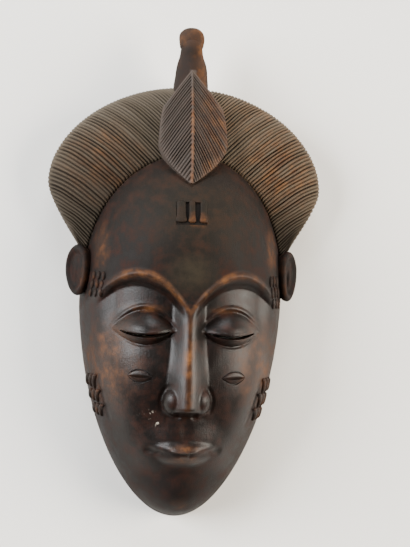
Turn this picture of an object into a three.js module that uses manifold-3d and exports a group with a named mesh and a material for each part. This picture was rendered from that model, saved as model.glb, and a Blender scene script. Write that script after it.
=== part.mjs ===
// A carved hardwood face mask, lying on its back.
//
// One block of wood: a hollow oval face with a grooved hairdress in two wings, a leaf-shaped
// crest that rises into a knobbed stalk, small ears, and raised skin marks on the forehead,
// temples, cheeks and jaw. Millimetres. X runs to the viewer's right, +Y from the chin to the
// crest, and +Z out of the face, so the rim of the hollow back stands on z = 0. The origin is
// the middle of the rectangle that the mask covers.

import * as THREE from 'three';
import { mergeVertices } from 'three/addons/utils/BufferGeometryUtils.js';
import Module from 'manifold-3d';

const wasm = await Module();
wasm.setup();

// Driving dimensions
const HEIGHT = 360; // from the chin to the top of the knob
const FACE_WIDTH = 152; // over the cheekbones, without the ears
const HAIR_WIDTH = 202.4; // over the two wings of hair
const DOME_DEPTH = 80; // from the rim's plane to the front of the bare head
const WALL = 12; // wood between the face and the hollow back
const FRONT_WALL = 14; // the same, at the front of the hollow, where the eyes are cut in
const RIM_ARCH = 8; // how far the rim is hollowed out at each side
const HAIR_RIM_Z = 20; // height of the wings' thin outer edge
const HAIR_BACK_Z = 13; // flat back of the wings
const GROOVES = 36; // grooves combed into each wing
const GROOVE_DEPTH = 1.2;
const CREST_GROOVES = 18; // chevrons cut down the leaf
const CREST_GROOVE_DEPTH = 0.9;
const EAR_HEIGHT = 37;
const EAR_WIDTH = 27;
const EAR_THICKNESS = 5;
const STALK_WIDTH = 25.5;
const NECK_WIDTH = 15.5;
const KNOB_WIDTH = 18.6;
const SLIT_LENGTH = 34; // each eye is open along one narrow slit
const SLIT_WIDTH = 2.4;
const MARK_RISE = 2; // how far the skin marks stand proud

// Everything else is free carving, given as shares of the mask's own height and widths
const H = HEIGHT / 360;
const W = FACE_WIDTH / 152;
const HAIR = HAIR_WIDTH / 202.4;
const D = DOME_DEPTH / 80;
const MIDDLE_Y = 2 * H; // middle of the mask, measured from the hairline's centre

const clamp = (v, lo, hi) => Math.min(hi, Math.max(lo, v));
const mix = (a, b, t) => a + (b - a) * t;
const smooth = (from, to, v) => {
  const t = clamp((v - from) / (to - from), 0, 1);
  return t * t * (3 - 2 * t);
};
const mound = (u, v) => Math.max(0, 1 - u * u - v * v) ** 2;

// A closed solid from a THREE geometry, or from lists of points and triangles
function solid(geometry) {
  const bare = geometry.index ? geometry : mergeVertices(geometry);
  return new wasm.Manifold(new wasm.Mesh({
    numProp: 3,
    vertProperties: Float32Array.from(bare.attributes.position.array),
    triVerts: Uint32Array.from(bare.index.array),
  }));
}

function fromThree(geometry) {
  geometry.deleteAttribute('normal');
  geometry.deleteAttribute('uv');
  return solid(mergeVertices(geometry, 1e-4));
}

function fromTriangles(points, triangles) {
  const geometry = new THREE.BufferGeometry();
  geometry.setAttribute('position', new THREE.Float32BufferAttribute(points.flat(), 3));
  geometry.setIndex(triangles);
  return solid(geometry);
}

// A skin through a row of closed rings, each end closed by a flat fan
function loft(rings) {
  const n = rings[0].length;
  const points = rings.flat();
  const triangles = [];
  for (let i = 0; i + 1 < rings.length; i++) {
    for (let j = 0; j < n; j++) {
      const a = i * n + j;
      const b = i * n + (j + 1) % n;
      triangles.push(a, b, b + n, a, b + n, a + n);
    }
  }
  const last = (rings.length - 1) * n;
  for (let j = 1; j + 1 < n; j++) {
    triangles.push(0, j + 1, j);
    triangles.push(last, last + j, last + j + 1);
  }
  return fromTriangles(points, triangles);
}

const mirrored = (ring) => ring.map(([x, y, z]) => [-x, y, z]).reverse();

// The bare head: an egg-shaped plan with a full, blunt dome over it
const EGG = { wide: -8 * H, crown: 118 * H, chin: 170 * H, taper: 0.1, power: 2.6 };

// Plan point of the head at disc place (dx, dy), shrunk all round by inset
function eggPlan(dx, dy, inset = 0) {
  const reach = (dy > 0 ? EGG.crown : EGG.chin) - inset;
  const narrow = dy < 0 ? 1 - EGG.taper * dy * dy : 1;
  return [dx * (FACE_WIDTH / 2 - inset) * narrow, EGG.wide + dy * reach];
}

// Distance of a plan point from the middle of the head, 1 at its outline
function eggRadius(x, y) {
  const dy = (y - EGG.wide) / (y > EGG.wide ? EGG.crown : EGG.chin);
  const narrow = dy < 0 ? 1 - EGG.taper * dy * dy : 1;
  return Math.hypot(x / (FACE_WIDTH / 2 * narrow), dy);
}

const domeZ = (radius, depth) =>
  depth * Math.sqrt(Math.max(0, 1 - Math.min(1, radius) ** EGG.power));

// The face: lengths across in shares of its width, lengths down in shares of its height.
// Hairline, brow, nose and chin are a third of the face apart, and each eye is a fifth wide.
const BROW = { y: 2, drop: 24, peak: 36, reach: 34, depth: 9 };
const EYE = { x: 30.4, y: -35, half: 22, up: 13, down: 10, rise: 7.5, slit: -4, curl: 3 };
const NOSE = { top: -14, base: -92, rise: 15, bridge: 4.4, tip: 7.6 };
const MOUTH = { y: -121, half: 23, upper: 7.5, lower: 8.5, rise: 4.2 };
const FOREHEAD = { x: 0, y: 42, across: 70, down: 62, rise: 6 };
const CHEEK = { x: 42, y: -76, across: 28, down: 34, rise: 3 };
const MUZZLE = { x: 0, y: -121, across: 38, down: 28, rise: 4.5 };
const PHILTRUM = { x: 0, y: -104, across: 4, down: 9, rise: -1.2 };
const CHIN = { x: 0, y: -158, across: 34, down: 27, rise: 9 };
const NOSTRIL = { x: 9.5, y: -84, across: 7.5, down: 9.5, rise: 9 };

const swell = (form, x, y) =>
  form.rise * mound((x - form.x) / form.across, (y - form.y) / form.down);

const browLine = (x) => BROW.y - BROW.drop * ((Math.abs(x) - BROW.peak) / BROW.reach) ** 2;

// How far the carving stands above the bare dome, at face place (x, y)
function relief(x, y) {
  const ax = Math.abs(x);
  let h = swell(FOREHEAD, x, y);

  const below = browLine(x) - y;
  h -= BROW.depth * smooth(0, 5, below) * (1 - smooth(20, 54, below)) * (1 - smooth(50, 68, ax));
  h += 1.8 * mound(0, (below + 2.2) / 3.4) * (1 - smooth(56, 68, ax));

  const u = (ax - EYE.x) / EYE.half;
  const v = y - EYE.y;
  const lens = (v > 0 ? EYE.up : EYE.down) * (1 - u * u);
  if (Math.abs(v) < lens) {
    h += EYE.rise * (1 - u * u) * (1 - (v / lens) ** 2);
  }

  for (const form of [CHEEK, MUZZLE, PHILTRUM, CHIN]) h += swell(form, ax, y);

  const t = clamp((NOSE.top - y) / (NOSE.top - NOSE.base), 0, 1);
  const half = mix(NOSE.bridge, NOSE.tip, t ** 1.5);
  const along = smooth(NOSE.top + 12, NOSE.top - 6, y) * smooth(NOSE.base - 3, NOSE.base + 3, y);
  const nose = along * (1 - smooth(half * 0.45, half * 1.3 + 3, ax));
  h = mix(h, NOSE.rise * t, nose);
  const { across, down, rise } = NOSTRIL;
  const lobe = 1 - ((ax - NOSTRIL.x) / across) ** 2 - ((y - NOSTRIL.y) / down) ** 2;
  return Math.max(h, rise * Math.sqrt(Math.max(0, lobe)));
}

// Lip at place x: from its outer edge to the parting line, both rounding in to the corners
function lipEdges(x, upper) {
  const share = 1 - (x / MOUTH.half) ** 2;
  const parting = MOUTH.y + 1.5 * (1 - share);
  const full = share ** 0.7;
  return upper
    ? [parting + 0.3, parting + 0.3 + MOUTH.upper * full]
    : [parting - 0.3, parting - 0.3 - MOUTH.lower * full];
}

// Height of the carved face over a plan point
function faceZ(x, y) {
  const radius = eggRadius(x, y);
  return domeZ(radius, DOME_DEPTH) + D * relief(x / W, y / H) * smooth(1, 0.94, radius);
}

// A grid on the unit disc, closer set towards the outline. Gather draws its rows together
// between the brow and the mouth, and its columns, by half as much, towards the middle.
function discGrid(columns, rows, gather) {
  const grid = [];
  for (let j = 0; j <= rows; j++) {
    const t = 2 * j / rows - 1;
    const b = t - gather * (1 - t * t) * (t + 0.25);
    for (let i = 0; i <= columns; i++) {
      const c = 2 * i / columns - 1;
      const a = c - gather / 2 * (1 - c * c) * c;
      const dx = a * Math.sqrt(1 - b * b / 2);
      const dy = b * Math.sqrt(1 - a * a / 2);
      const s2 = dx * dx + dy * dy;
      const k = 1.2 - 0.2 * s2;
      grid.push([dx * k, dy * k]);
    }
  }
  return grid;
}

// A dome standing on a flat floor: grid points carried up by top, and a fan under them
function domeSolid(columns, rows, gather, top, floorZ) {
  const points = discGrid(columns, rows, gather).map(([dx, dy]) => top(dx, dy));
  const at = (i, j) => j * (columns + 1) + i;
  const triangles = [];
  for (let j = 0; j < rows; j++) {
    for (let i = 0; i < columns; i++) {
      const [a, b, c, d] = [at(i, j), at(i + 1, j), at(i + 1, j + 1), at(i, j + 1)];
      // each quad is split along the diagonal that points away from the middle line
      if (2 * i < columns) triangles.push(a, b, c, a, c, d);
      else triangles.push(a, b, d, b, c, d);
    }
  }
  const edge = [];
  for (let i = 0; i < columns; i++) edge.push(at(i, 0));
  for (let j = 0; j < rows; j++) edge.push(at(columns, j));
  for (let i = columns; i > 0; i--) edge.push(at(i, rows));
  for (let j = rows; j > 0; j--) edge.push(at(0, j));
  for (const k of edge) points[k][2] = floorZ;
  const middle = points.push([0, EGG.wide, floorZ]) - 1;
  edge.forEach((k, n) => triangles.push(edge[(n + 1) % edge.length], k, middle));
  return fromTriangles(points, triangles);
}

// Rows near the brow are bent to run along it
const alongBrow = (x, y) =>
  y + H * mound(0, (y / H + 4) / 36) * Math.max(-17, browLine(x / W) + 4);

function head() {
  return domeSolid(32, 40, 0.55, (dx, dy) => {
    const [x, flat] = eggPlan(dx, dy);
    const y = alongBrow(x, flat);
    return [x, y, faceZ(x, y)];
  }, 0);
}

// A lip: a rounded roll that is lofted from corner to corner
function lip(upper) {
  const stations = 10;
  const rings = [];
  for (let k = 0; k <= stations; k++) {
    const x = MOUTH.half * 0.985 * Math.sin(Math.PI * (k / stations - 0.5));
    const [from, to] = lipEdges(x, upper);
    const share = (1 - (x / MOUTH.half) ** 2) ** 0.35;
    const ring = [-1, -0.6, 0, 0.6, 1].map((t) => {
      const y = mix(from, to, (t + 1) / 2);
      const roll = Math.abs(t) < 1 ? MOUTH.rise * share * Math.sqrt(1 - t * t) : -1.2;
      return [x * W, y * H, faceZ(x * W, y * H) + D * roll];
    });
    const middle = H * (from + to) / 2;
    ring.push([x * W, middle, faceZ(x * W, middle) - 4 * D]);
    rings.push(upper ? ring.reverse() : ring);
  }
  return loft(rings);
}

// The hollow follows the outside, one wall thickness in
function hollow() {
  return domeSolid(12, 14, 0, (dx, dy) => {
    const [x, y] = eggPlan(dx, dy, WALL);
    return [x, y, domeZ(Math.hypot(dx, dy), DOME_DEPTH - FRONT_WALL)];
  }, -1);
}

// The rim is hollowed a little at both sides, so that it stands on its chin and its crown
function rimArch() {
  const [from, to] = [-120 * H, 58 * H];
  const steps = 6;
  const shape = new THREE.Shape([new THREE.Vector2(to, -5), new THREE.Vector2(from, -5)]);
  for (let k = 0; k <= steps; k++) {
    const t = k / steps;
    shape.lineTo(mix(from, to, t), RIM_ARCH * Math.sin(Math.PI * t) ** 0.8 - 0.01);
  }
  const wide = FACE_WIDTH + 2 * EAR_WIDTH;
  const prism = new THREE.ExtrudeGeometry(shape, { depth: wide, bevelEnabled: false });
  prism.applyMatrix4(new THREE.Matrix4().makeBasis(
    new THREE.Vector3(0, 1, 0), new THREE.Vector3(0, 0, 1), new THREE.Vector3(1, 0, 0),
  ).setPosition(-wide / 2, 0, 0));
  return fromThree(prism);
}

// A slit through each eye: a thin crescent along the lower lid
function eyeSlit(side) {
  const steps = 6;
  const half = SLIT_LENGTH / 2;
  const line = (u) => H * (EYE.y + EYE.slit + EYE.curl * u * u);
  const upper = [];
  const lower = [];
  for (let k = 0; k <= steps; k++) {
    const u = 2 * k / steps - 1;
    const open = SLIT_WIDTH / 2 * Math.sqrt(1 - u * u) + 0.15;
    upper.push(new THREE.Vector2(side * W * EYE.x + half * u, line(u) + open));
    lower.unshift(new THREE.Vector2(side * W * EYE.x + half * u, line(u) - open));
  }
  const shape = new THREE.Shape([...upper, ...lower]);
  const cut = new THREE.ExtrudeGeometry(shape, { depth: DOME_DEPTH, bevelEnabled: false });
  return fromThree(cut.translate(0, 0, DOME_DEPTH / 2));
}

// Hair: each wing is a sheet of grooves that run from the hairline up and out to a thin rim
const HAIRLINE = { a: 72.5 * W, b: 89 * H, lift: 1.5 };
const PARTING = 3 * W; // the wings stop this far from the middle, under the crest
const WING = {
  ear: [77.5, 23], flare: [85, 34], below: 58, widest: 69, above: 103, shoulder: 60, top: 141.5,
};

// Points spread evenly along a path that is given as a fine row of points
function evenly(path, count) {
  const lengths = [0];
  for (let k = 1; k < path.length; k++) {
    lengths.push(lengths[k - 1] + path[k].distanceTo(path[k - 1]));
  }
  const out = [];
  let k = 1;
  for (let n = 0; n <= count; n++) {
    const want = lengths[lengths.length - 1] * n / count;
    while (k < path.length - 1 && lengths[k] < want) k += 1;
    const t = (want - lengths[k - 1]) / (lengths[k] - lengths[k - 1]);
    out.push(path[k - 1].clone().lerp(path[k], clamp(t, 0, 1)));
  }
  return out;
}

function hairlinePath() {
  const path = [];
  const first = Math.asin(10 * H / HAIRLINE.b);
  const last = Math.acos(10 * W / HAIRLINE.a);
  for (let k = 0; k <= 80; k++) {
    const angle = mix(first, last, k / 80);
    path.push(new THREE.Vector2(HAIRLINE.a * Math.cos(angle), HAIRLINE.b * Math.sin(angle)));
  }
  path.push(new THREE.Vector2(PARTING, (WING.top - 2) * H));
  return path;
}

function wingRimPath() {
  const half = HAIR_WIDTH / 2 / HAIR;
  const { ear, flare, below, widest, above, shoulder, top } = WING;
  const curve = (...points) => new THREE.CubicBezierCurve(
    ...points.map(([x, y]) => new THREE.Vector2(x * HAIR, y * H)),
  ).getPoints(60);
  const lower = curve(ear, flare, [half, below], [half, widest]);
  const upper = curve([half, widest], [half, above], [shoulder, top], [0, top]);
  return [...lower, ...upper.slice(1).filter((p) => p.x > PARTING)];
}

// The wing falls from the hairline's height to its rim, slowly first and then steeply
const wingZ = (z0, t) => mix(HAIR_RIM_Z, z0, (1 - t ** 2.2) ** (1 / 1.8));

function hairStartZ(p) {
  const edge = HAIRLINE.b * Math.sqrt(1 - Math.min(1, p.x / HAIRLINE.a) ** 2);
  if (p.y <= edge + 1) return faceZ(p.x, p.y) + HAIRLINE.lift;
  const t = clamp((p.y - edge) / (WING.top * H - edge), 0, 1);
  return wingZ(faceZ(p.x, edge) + HAIRLINE.lift, t);
}

function wing(side) {
  const columns = 2 * GROOVES;
  const inner = evenly(hairlinePath(), columns);
  const outer = evenly(wingRimPath(), columns);
  const rings = inner.map((p0, k) => {
    const p1 = outer[k];
    const control = p0.clone().lerp(p1, 0.5);
    control.y += 0.09 * p0.distanceTo(p1);
    const comb = new THREE.QuadraticBezierCurve(p0, control, p1);
    const cut = k % 2 ? GROOVE_DEPTH : 0;
    const z0 = hairStartZ(p0);
    const long = p0.distanceTo(p1) + 1e-6;
    const ring = [0, 0.4, 0.75].map((t) => {
      const p = comb.getPoint(t);
      return [p.x, p.y, wingZ(z0, t) - cut];
    });
    const rim = comb.getPoint(1 - Math.min(0.3, cut / long));
    ring.push([rim.x, rim.y, HAIR_RIM_Z]);
    const back = comb.getPoint(1 - Math.min(0.4, (cut + 1.5) / long));
    ring.push([back.x, back.y, HAIR_BACK_Z]);
    const root = comb.getPoint(0);
    ring.push([root.x - 3 * p0.x / HAIRLINE.a, root.y - 3 * p0.y / HAIRLINE.b, HAIR_BACK_Z]);
    return ring;
  });
  return loft(side > 0 ? rings : rings.map(mirrored));
}

// Crest: a leaf with a midrib and chevron grooves that stands on the parting of the hair. Its
// midrib is to one side of the mask's middle and its outline's middle to the other, as carved.
const LEAF = {
  tip: 67.2, apex: 150.4, half: 23.2, rib: -1.3, middle: 0.6, blunt: 1, full: 0.34, low: 50, rise: 23,
  roof: 9, foot: 24,
};

const leafShare = (y) => clamp((y - LEAF.tip) / (LEAF.apex - LEAF.tip), 0, 1);

// Half width: it widens to the full width at a third of the way up, and then runs to a point
function leafHalf(y) {
  const t = leafShare(y);
  const opening = 1 - Math.max(0, 1 - t / LEAF.full) ** 1.6;
  return LEAF.half * opening * (1 - t ** 5.2) + LEAF.blunt * (1 - t);
}

const leafRidge = (y) => LEAF.low + LEAF.rise * (1 - leafShare(y) ** 2);

// Distance from the midrib to the place across the mask: the right half is the wider one
const leafPlace = (x) => LEAF.rib + x * (1 + Math.sign(x) * (LEAF.middle - LEAF.rib) / LEAF.half);

// Roof of the leaf at plan place (x, y), both in shares of the mask's own height
function leafZ(x, y) {
  const half = Math.max(leafHalf(y), 0.5);
  const roof = LEAF.roof * Math.min(1, half / 20);
  return leafRidge(y) - roof * Math.min(1, Math.abs(x) / half) ** 1.3;
}

// How far a groove that leaves the midrib at y0 with this slant runs before it meets the edge
function grooveReach(y0, slant) {
  let [inside, outside] = [0, y0 - LEAF.tip];
  for (let k = 0; k < 24; k++) {
    const s = (inside + outside) / 2;
    if (slant * s < leafHalf(y0 - s)) inside = s;
    else outside = s;
  }
  return inside;
}

function crest() {
  const rings = [];
  const count = 2 * CREST_GROOVES;
  const growth = 4.6 / 2.6; // the chevrons are set wider towards the tip
  for (let k = 0; k <= count; k++) {
    const q = (growth ** (k / count) - 1) / (growth - 1);
    const y0 = mix(LEAF.apex - 0.5, LEAF.tip + 0.5, q);
    const slant = mix(0.86, 0.6, q);
    const reach = grooveReach(y0, slant);
    const cut = k % 2 ? CREST_GROOVE_DEPTH : 0;
    const right = [0.07, 0.5, 1].map((t) => {
      const [x, y] = [slant * reach * t, y0 - reach * t];
      return [x, y, leafZ(x, y) - cut];
    });
    const [ex, ey] = right[2];
    const ring = [
      [ex + 1.2 * Math.min(1, ex / 8), ey, LEAF.foot],
      ...right.slice().reverse(),
      [0, y0, leafZ(0, y0) - cut / 2],
      ...right.map(([x, y, z]) => [-x, y, z]),
      [-ex - 1.2 * Math.min(1, ex / 8), ey, LEAF.foot],
    ];
    rings.push(ring.map(([x, y, z]) => [leafPlace(x) * H, y * H, z * D]));
  }
  return loft(rings);
}

// Stalk: an oval stem that grows out of the hair behind the leaf and narrows to a neck, with
// a round knob on its end, which the stem laps over in front. Each section has its place, how
// far it is from the neck's width to the full width, and its back and front.
const STALK = [
  [100, 1, 14, 38], [118, 1, 14, 42], [136, 1, 16, 46.5], [146, 0.83, 20, 46.5], [152, 0.72, 23, 46.5],
  [157, 0.46, 26, 46.5], [161, 0.19, 28, 47], [166, 0.04, 30, 48.5], [170, -0.12, 31, 49],
  [172.5, -0.45, 33, 47.6],
];
const KNOB = { tall: 0.84, z: 39 };

function stalk() {
  const sides = 10;
  return loft(STALK.map(([y, share, back, front]) => {
    const half = mix(NECK_WIDTH, STALK_WIDTH, share) / 2;
    const ring = [];
    for (let k = 0; k < sides; k++) {
      const angle = -2 * Math.PI * k / sides;
      const z = (back + front) / 2 + (front - back) / 2 * Math.sin(angle);
      ring.push([half * Math.cos(angle), y * H, z * D]);
    }
    return ring;
  }));
}

function knob() {
  const half = KNOB_WIDTH / 2;
  const ball = new THREE.SphereGeometry(half, 14, 8).scale(1, KNOB.tall, 1);
  return fromThree(ball.translate(0, HEIGHT / 2 + MIDDLE_Y - KNOB.tall * half, KNOB.z * D));
}

// Ear: an oval dish, rolled at its edge, set on the side of the head and turned half forwards
function ear(side) {
  const spokes = 14;
  const steps = [[0, 0], [0.62, 0.4], [0.78, 3.2], [0.92, 3], [1, 0]];
  const points = [];
  const place = (u, v, out) => {
    const across = new THREE.Vector3(0.53, 0, -0.848);
    const normal = new THREE.Vector3(0.848, 0, 0.53);
    const centre = new THREE.Vector3(77.6 * W, 4.9 * H, 27);
    const p = centre.addScaledVector(across, u * EAR_WIDTH / 2).addScaledVector(normal, out);
    return [side * p.x, p.y + v * EAR_HEIGHT / 2, p.z];
  };
  for (const [r, rise] of steps.slice(1)) {
    for (let k = 0; k < spokes; k++) {
      const angle = 2 * Math.PI * k / spokes;
      const [u, v] = [r * Math.cos(angle), r * Math.sin(angle) * (1 - 0.08 * Math.cos(angle))];
      points.push(place(u, v, rise));
    }
  }
  const ringCount = steps.length - 1;
  for (let k = 0; k < spokes; k++) {
    const angle = 2 * Math.PI * k / spokes;
    points.push(place(0.9 * Math.cos(angle), 0.9 * Math.sin(angle), -EAR_THICKNESS));
  }
  const front = points.push(place(0, 0, steps[0][1])) - 1;
  const back = points.push(place(0, 0, -EAR_THICKNESS)) - 1;
  const triangles = [];
  for (let k = 0; k < spokes; k++) {
    const next = (k + 1) % spokes;
    triangles.push(front, next, k);
    for (let r = 0; r < ringCount; r++) {
      const [a, b] = [r * spokes + k, r * spokes + next];
      triangles.push(a, b, b + spokes, a, b + spokes, a + spokes);
    }
    triangles.push(ringCount * spokes + k, ringCount * spokes + next, back);
  }
  if (side > 0) triangles.reverse();
  return fromTriangles(points, triangles);
}

// A skin mark: a small raised pad with sloping sides, standing square on the carved surface.
// Its outline is given in half widths and half heights.
const OBLONG = [[-1, -1], [1, -1], [1, 1], [-1, 1]];
const HALF_LENS = [[-1, -1], [1, -1], [0.55, 0.55], [0, 1], [-0.55, 0.55]];

function block(x, y, width, height, from, to, slope, outline = OBLONG) {
  const step = 0.5;
  const surface = (px, py) => new THREE.Vector3(px, py, faceZ(px, py));
  const east = surface(x + step, y).sub(surface(x - step, y)).normalize();
  const north = surface(x, y + step).sub(surface(x, y - step)).normalize();
  const normal = east.clone().cross(north).normalize();
  const right = north.clone().cross(normal);
  return loft([[from, 0], [to, slope]].map(([out, inset]) =>
    outline.map(([i, j]) => surface(x, y)
      .addScaledVector(right, i * (width / 2 - inset))
      .addScaledVector(north, j * (height / 2 - inset))
      .addScaledVector(normal, out)
      .toArray())));
}

const pad = (x, y, width, height, rise, outline) =>
  block(x, y, width, height, -2 * MARK_RISE, rise, 0.3 * rise, outline);

// bars are given by their place and width, and stand this far from the field's lower edge
const FOREHEAD_MARK = {
  x: -1.4, y: 46.2, width: 22.4, height: 17.2, sink: 1.2, bars: [[-7.4, 5.8], [0.3, 4], [8.4, 4.4]], foot: 1.8,
};
const CHEEK_MARK = { x: 33, y: -67, length: 18, height: 9.6, gap: 1.4 };
const TEMPLE_MARK = {
  x: 63.8, y: -6, columns: 3, rows: 3, across: 3.2, down: 6.4, lean: 1.2, width: 4.2, height: 5,
};
const JAW_MARK = {
  y: -84.5, radius: 0.925, rows: 3, columns: 3, across: 2.9, down: 10.4, width: 4.6, height: 9.2,
};

function foreheadBars() {
  const { x, y, bars, foot, height } = FOREHEAD_MARK;
  return bars.map(([place, width]) =>
    pad(W * (x + place), H * (y + foot / 2), W * width, H * (height - foot) + 0.6, 0.3 * MARK_RISE));
}

// Two half lenses, one over the other, like a coffee bean
function cheekBean(side) {
  const { x, y, length, height, gap } = CHEEK_MARK;
  const tall = (height - gap) / 2;
  return [-1, 1].map((half) => pad(
    side * W * x, H * (y + half * (gap + tall) / 2), W * length, H * tall, MARK_RISE,
    half > 0 ? HALF_LENS : HALF_LENS.map(([i, j]) => [i, -j]).reverse(),
  ));
}

function templeGrains(side) {
  const { x, y, rows, columns, across, down, lean, width, height } = TEMPLE_MARK;
  const out = [];
  for (let j = 0; j < rows; j++) {
    for (let i = 0; i < columns; i++) {
      const up = j - (rows - 1) / 2;
      const gx = x + (i - (columns - 1) / 2) * across - up * lean;
      const gy = y + up * down;
      out.push(pad(side * W * gx, H * gy, W * width, H * height, MARK_RISE * 0.8));
    }
  }
  return out;
}

function jawBars(side) {
  const { y, radius, rows, columns, across, down, width, height } = JAW_MARK;
  const out = [];
  for (let j = 0; j < rows; j++) {
    const gy = y + (j - (rows - 1) / 2) * down;
    const dy = (gy * H - EGG.wide) / EGG.chin;
    const middle = eggPlan(Math.sqrt(radius * radius - dy * dy), dy)[0];
    for (let i = 0; i < columns; i++) {
      const gx = middle - ((columns - 1) / 2 - i) * across * W;
      out.push(pad(side * gx, H * gy, W * width, H * height, MARK_RISE));
    }
  }
  return out;
}

// The shallow field that the forehead bars stand in
function foreheadField() {
  const { x, y, width, height, sink } = FOREHEAD_MARK;
  return block(W * x, H * y, W * width, H * height, -sink, DOME_DEPTH / 8, 0);
}

function carve() {
  const sides = [-1, 1];
  let wood = head();
  for (const side of sides) wood = wood.add(wing(side)).add(ear(side));
  wood = wood.add(stalk()).add(knob()).add(crest());
  wood = wood.subtract(foreheadField());
  const marks = [
    lip(true), lip(false), ...foreheadBars(), ...sides.flatMap(cheekBean), ...sides.flatMap(templeGrains),
    ...sides.flatMap(jawBars),
  ];
  for (const mark of marks) wood = wood.add(mark);
  for (const cut of [hollow(), rimArch(), ...sides.map(eyeSlit)]) wood = wood.subtract(cut);
  // the outer skin alone, so that slivers of space shut in where two forms join are filled
  return wood.decompose().sort((a, b) => b.volume() - a.volume())[0];
}

const wood = new THREE.MeshStandardMaterial({ color: '#3a2a24', roughness: 0.42, metalness: 0 });

const carved = carve().getMesh();
const geometry = new THREE.BufferGeometry();
geometry.setAttribute('position', new THREE.BufferAttribute(carved.vertProperties, 3));
geometry.setIndex(new THREE.BufferAttribute(carved.triVerts, 1));
geometry.computeVertexNormals();

const mask = new THREE.Mesh(geometry, wood);
mask.name = 'mask';
mask.position.y = -MIDDLE_Y;

const object = new THREE.Group();
object.add(mask);
export default object;
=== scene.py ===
import bpy
import numpy as np
from mathutils import Matrix, Vector


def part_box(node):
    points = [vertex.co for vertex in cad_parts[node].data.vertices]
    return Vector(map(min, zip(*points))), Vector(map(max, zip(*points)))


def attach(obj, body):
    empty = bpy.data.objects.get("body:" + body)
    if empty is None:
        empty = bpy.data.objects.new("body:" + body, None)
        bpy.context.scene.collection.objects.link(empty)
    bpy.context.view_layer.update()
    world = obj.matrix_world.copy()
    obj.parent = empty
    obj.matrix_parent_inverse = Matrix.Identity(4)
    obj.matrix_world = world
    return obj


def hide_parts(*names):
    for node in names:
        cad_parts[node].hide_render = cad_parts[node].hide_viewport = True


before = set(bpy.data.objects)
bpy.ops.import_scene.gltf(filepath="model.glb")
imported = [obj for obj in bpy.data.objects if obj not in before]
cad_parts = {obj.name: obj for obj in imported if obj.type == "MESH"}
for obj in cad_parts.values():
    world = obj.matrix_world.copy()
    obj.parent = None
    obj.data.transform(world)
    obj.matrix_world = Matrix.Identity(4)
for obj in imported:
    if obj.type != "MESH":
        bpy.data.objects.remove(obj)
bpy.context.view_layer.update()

# The head is one block of dense hardwood, hewn to an egg-shaped plan under a blunt dome and
# smoothed with a knife. Lengths are in millimetres on a mask 360 mm tall, counted from the
# middle of the hairline; the frame's own height turns them to metres.
low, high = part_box("mask")
UNIT = (high.y - low.y) / 360
MIDDLE_Y = 2.0  # middle of the mask, counted from the middle of the hairline

DOME_DEPTH, FACE_HALF = 80.0, 76.0
EGG = dict(wide=-8.0, crown=118.0, chin=170.0, taper=0.1, power=2.6)
CARVED = 0.94  # the carving fades out over the rest of the way to the outline
BROW = dict(y=2.0, drop=24.0, peak=36.0, reach=34.0)
BROW_RIDGE = dict(above=2.2, half=3.4, rise=1.8, side=(56, 68))
SOCKET = dict(depth=7.5, edge=(-0.5, 7), low=(16, 56), side=(50, 68))
EYE = dict(x=30.4, y=-35.0, half=22.0, up=13.0, down=10.0, rise=7.5)
EYE_LINE = dict(out=0.6, half=1.5, rise=-0.7)
LID_FOLD = dict(out=3.6, half=2.3, rise=1.2)
SLIT = dict(half=17.0, y=-39.0, curl=3.0, open=1.2)
SLIT_BORDER = dict(out=1.0, half=1.4, rise=0.6)
NOSE = dict(top=-14.0, base=-92.0, rise=15.0, bridge=4.4, tip=7.6, spread=1.6, apron=5.0,
            starts=(-2, -20), ends=(-96, -88))
NOSTRIL = dict(x=9.5, y=-84.0, across=7.5, down=9.5, rise=9.0)
NOSTRIL_CREASE = dict(out=1.12, half=0.35, depth=0.7, side=(8, 13))
NOSTRIL_HOLE = dict(x=5.6, y=-93.5, across=3.8, down=3.4, rise=-2.2)
MOUTH = dict(y=-121.0, half=23.0, upper=6.0, lower=7.0, rise=4.4, curl=1.5, apart=0.42,
             shorter=0.88, full=1.4)
LIP_GROOVE = dict(half=1.9, depth=1.7)
MOUTH_CORNER = dict(x=24.0, y=-119.5, across=5.0, down=4.0, rise=-1.0)
FOREHEAD = dict(x=0.0, y=42.0, across=70.0, down=62.0, rise=6.0)
CHEEK = dict(x=42.0, y=-76.0, across=28.0, down=34.0, rise=3.0)
MUZZLE = dict(x=0.0, y=-121.0, across=38.0, down=28.0, rise=4.5)
PHILTRUM = dict(x=0.0, y=-104.0, across=5.5, down=10.0, rise=-0.8)
CHIN = dict(x=0.0, y=-158.0, across=34.0, down=27.0, rise=9.0)
JAW_CUT = dict(radius=(0.885, 0.83), half=0.02, y=-85.0, tall=21.0, depth=2.0)
GRID = dict(columns=184, rows=236, gather=0.55)
BROW_ROWS = dict(y=-4.0, tall=36.0, most=-17.0)


def smooth(start, end, v):
    """Runs from 0 at start to 1 at end, level at both ends."""
    t = np.clip((v - start) / (end - start), 0, 1)
    return t * t * (3 - 2 * t)


def mound(u, v=0.0):
    """A round swelling: 1 in its middle, falling to 0 at distance 1, level at both."""
    return np.maximum(0, 1 - u * u - v * v) ** 2


def swell(form, x, y):
    """The mound of one named form, at its own place and size."""
    return form["rise"] * mound((x - form["x"]) / form["across"], (y - form["y"]) / form["down"])


def roll(form, out):
    """A thin roll or line that follows an edge, from the distance out from that edge."""
    return form["rise"] * mound((out - form["out"]) / form["half"])


def egg_plan(dx, dy, inset=0.0):
    """Disc place to plan place: stretched to the face's half width and, up and down, to the
    crown and the chin, and drawn in towards the chin by the square of the way down."""
    reach = np.where(dy > 0, EGG["crown"], EGG["chin"]) - inset
    narrow = 1 - EGG["taper"] * np.minimum(dy, 0) ** 2
    return dx * (FACE_HALF - inset) * narrow, EGG["wide"] + dy * reach


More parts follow.
